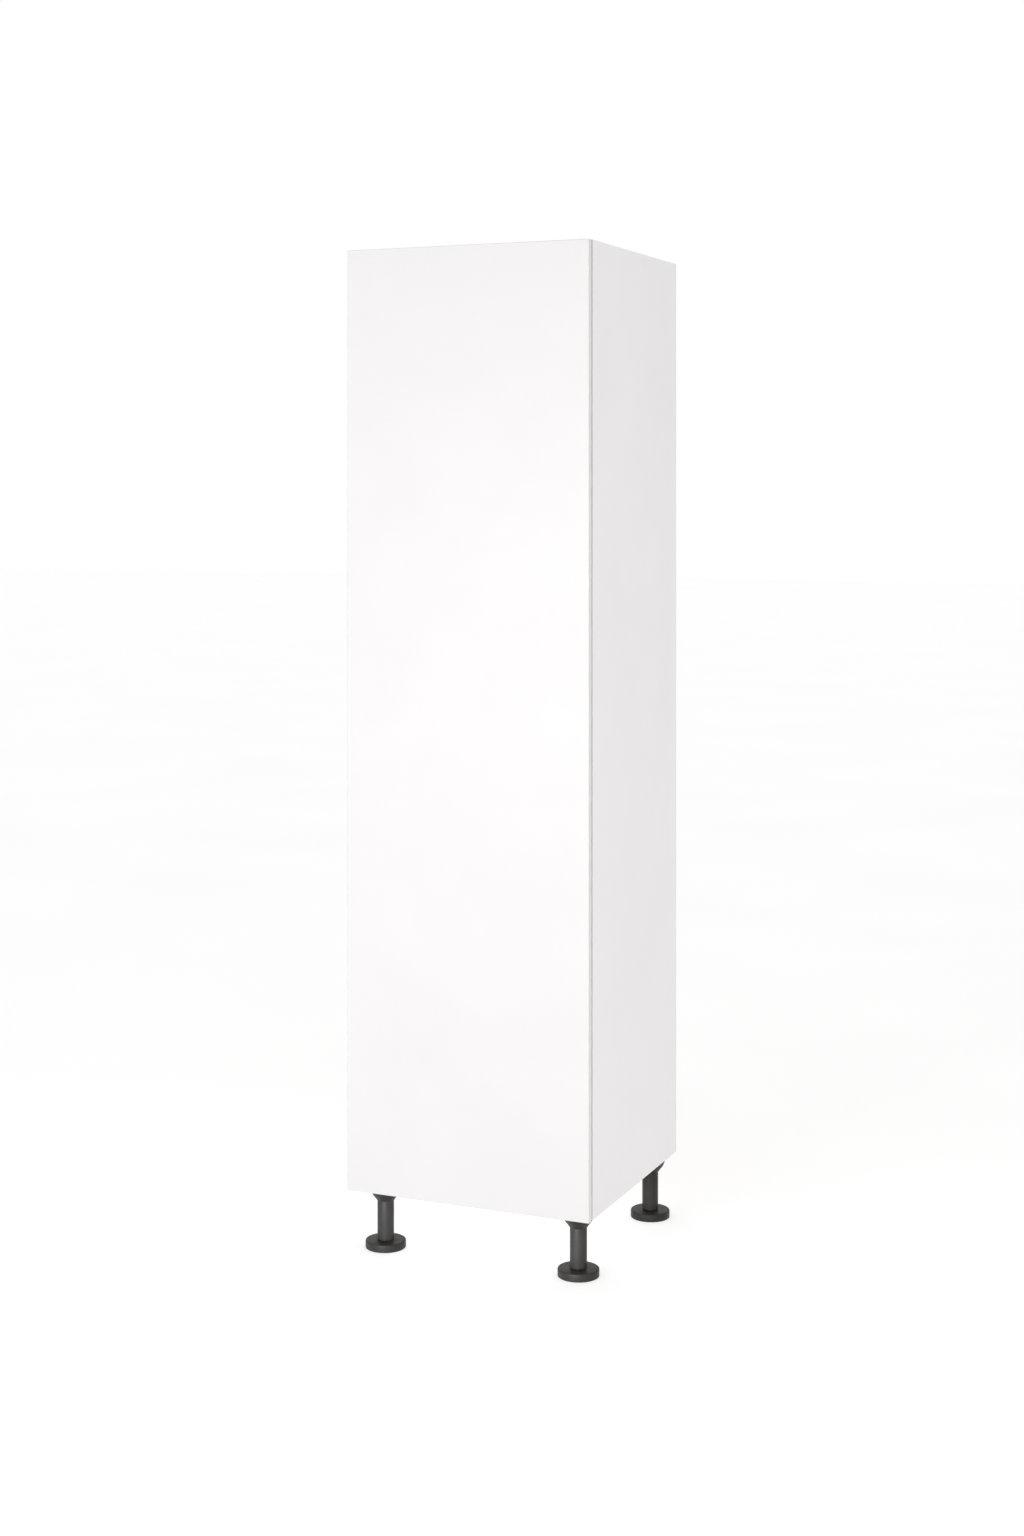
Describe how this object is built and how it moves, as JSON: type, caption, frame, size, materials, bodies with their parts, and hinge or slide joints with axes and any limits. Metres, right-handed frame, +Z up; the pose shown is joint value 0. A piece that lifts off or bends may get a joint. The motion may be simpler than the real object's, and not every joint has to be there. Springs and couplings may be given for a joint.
{
  "type": "tall kitchen cabinet",
  "caption": "Tall slim kitchen larder cabinet with a full-height handleless slab door, shelves inside and adjustable plastic legs.",
  "frame": {"origin": "on the floor, under the middle of the closed cabinet", "axes": "+X to the right as seen from the front, +Y towards the wall, +Z up; the door faces -Y"},
  "size_m": [0.6, 0.5784, 2.31],
  "materials": {
    "white_board": "fine matte white melamine on chipboard",
    "door_front": "smooth satin white, no grain",
    "white_hardboard": "white lacquered hardboard",
    "edge_band": "satin white edge band",
    "white_plastic": "moulded white",
    "zinc": "die-cast zinc",
    "beech": "fluted beech",
    "nickel_steel": "nickel-plated steel",
    "screw_steel": "zinc-plated steel",
    "grey_plastic": "moulded grey",
    "clear_rubber": "soft translucent",
    "dark_plastic": "moulded anthracite"
  },
  "bodies": {
    "carcass": {"side_panel_left": "white_board", "side_panel_right": "white_board", "top_panel": "white_board", "bottom_panel": "white_board", "fixed_shelf": "white_board", "shelf_1": "white_board", "shelf_2": "white_board", "shelf_3": "white_board", "shelf_4": "white_board", "back_panel_lower": "white_hardboard", "back_panel_upper": "white_hardboard", "back_joint_strip": "white_plastic", "wall_rail_bottom": "white_board", "wall_rail_middle": "white_board", "wall_rail_top": "white_board", "carcass_edge_bands": "edge_band", "shelf_edge_bands": "edge_band", "cam_locks": "zinc", "cam_bolts": "zinc", "cam_caps": "white_plastic", "wood_dowels": "beech", "shelf_pins": "nickel_steel", "hinge_plates": "nickel_steel", "hinge_plate_screws": "screw_steel", "hinge_arms": "nickel_steel", "hinge_adjust_screws": "screw_steel", "latch_housing_lower": "white_plastic", "latch_housing_upper": "white_plastic", "latch_springs": "screw_steel", "latch_screws": "screw_steel", "leg_socket_front_left": "dark_plastic", "leg_socket_front_right": "dark_plastic", "leg_socket_back_left": "dark_plastic", "leg_socket_back_right": "dark_plastic", "leg_column_front_left": "dark_plastic", "leg_column_front_right": "dark_plastic", "leg_column_back_left": "dark_plastic", "leg_column_back_right": "dark_plastic", "leg_screws": "screw_steel"},
    "door": {"door_panel": "door_front", "door_edge_bands": "edge_band", "hinge_cups": "nickel_steel", "hinge_pins": "nickel_steel", "hinge_cup_screws": "screw_steel", "door_bumpers": "clear_rubber", "latch_strikes": "nickel_steel"},
    "lower_plunger": {"latch_plunger_lower": "grey_plastic"},
    "upper_plunger": {"latch_plunger_upper": "grey_plastic"},
    "front_left_foot": {"foot_front_left": "dark_plastic"},
    "front_right_foot": {"foot_front_right": "dark_plastic"},
    "back_left_foot": {"foot_back_left": "dark_plastic"},
    "back_right_foot": {"foot_back_right": "dark_plastic"}
  },
  "joints": [
    {"name": "door_swing", "type": "hinge", "parent": "carcass", "child": "door", "pos_m": [-0.29172, -0.28259, 1.23], "axis": [0, 0, -1], "range_deg": [0, 95]},
    {"name": "lower_plunger_slide", "type": "slide", "parent": "carcass", "child": "lower_plunger", "axis": [0, -1, 0], "range_m": [0, 0.02]},
    {"name": "upper_plunger_slide", "type": "slide", "parent": "carcass", "child": "upper_plunger", "axis": [0, -1, 0], "range_m": [0, 0.02]},
    {"name": "front_left_foot_height", "type": "slide", "parent": "carcass", "child": "front_left_foot", "axis": [0, 0, -1], "range_m": [-0.0005, 0.025]},
    {"name": "front_right_foot_height", "type": "slide", "parent": "carcass", "child": "front_right_foot", "axis": [0, 0, -1], "range_m": [-0.0005, 0.025]},
    {"name": "back_left_foot_height", "type": "slide", "parent": "carcass", "child": "back_left_foot", "axis": [0, 0, -1], "range_m": [-0.0005, 0.025]},
    {"name": "back_right_foot_height", "type": "slide", "parent": "carcass", "child": "back_right_foot", "axis": [0, 0, -1], "range_m": [-0.0005, 0.025]}
  ],
  "couplings": [
    {"joint": "lower_plunger_slide", "follows": "door_swing", "m_per_rad": 0.01206},
    {"joint": "upper_plunger_slide", "follows": "door_swing", "m_per_rad": 0.01206}
  ]
}
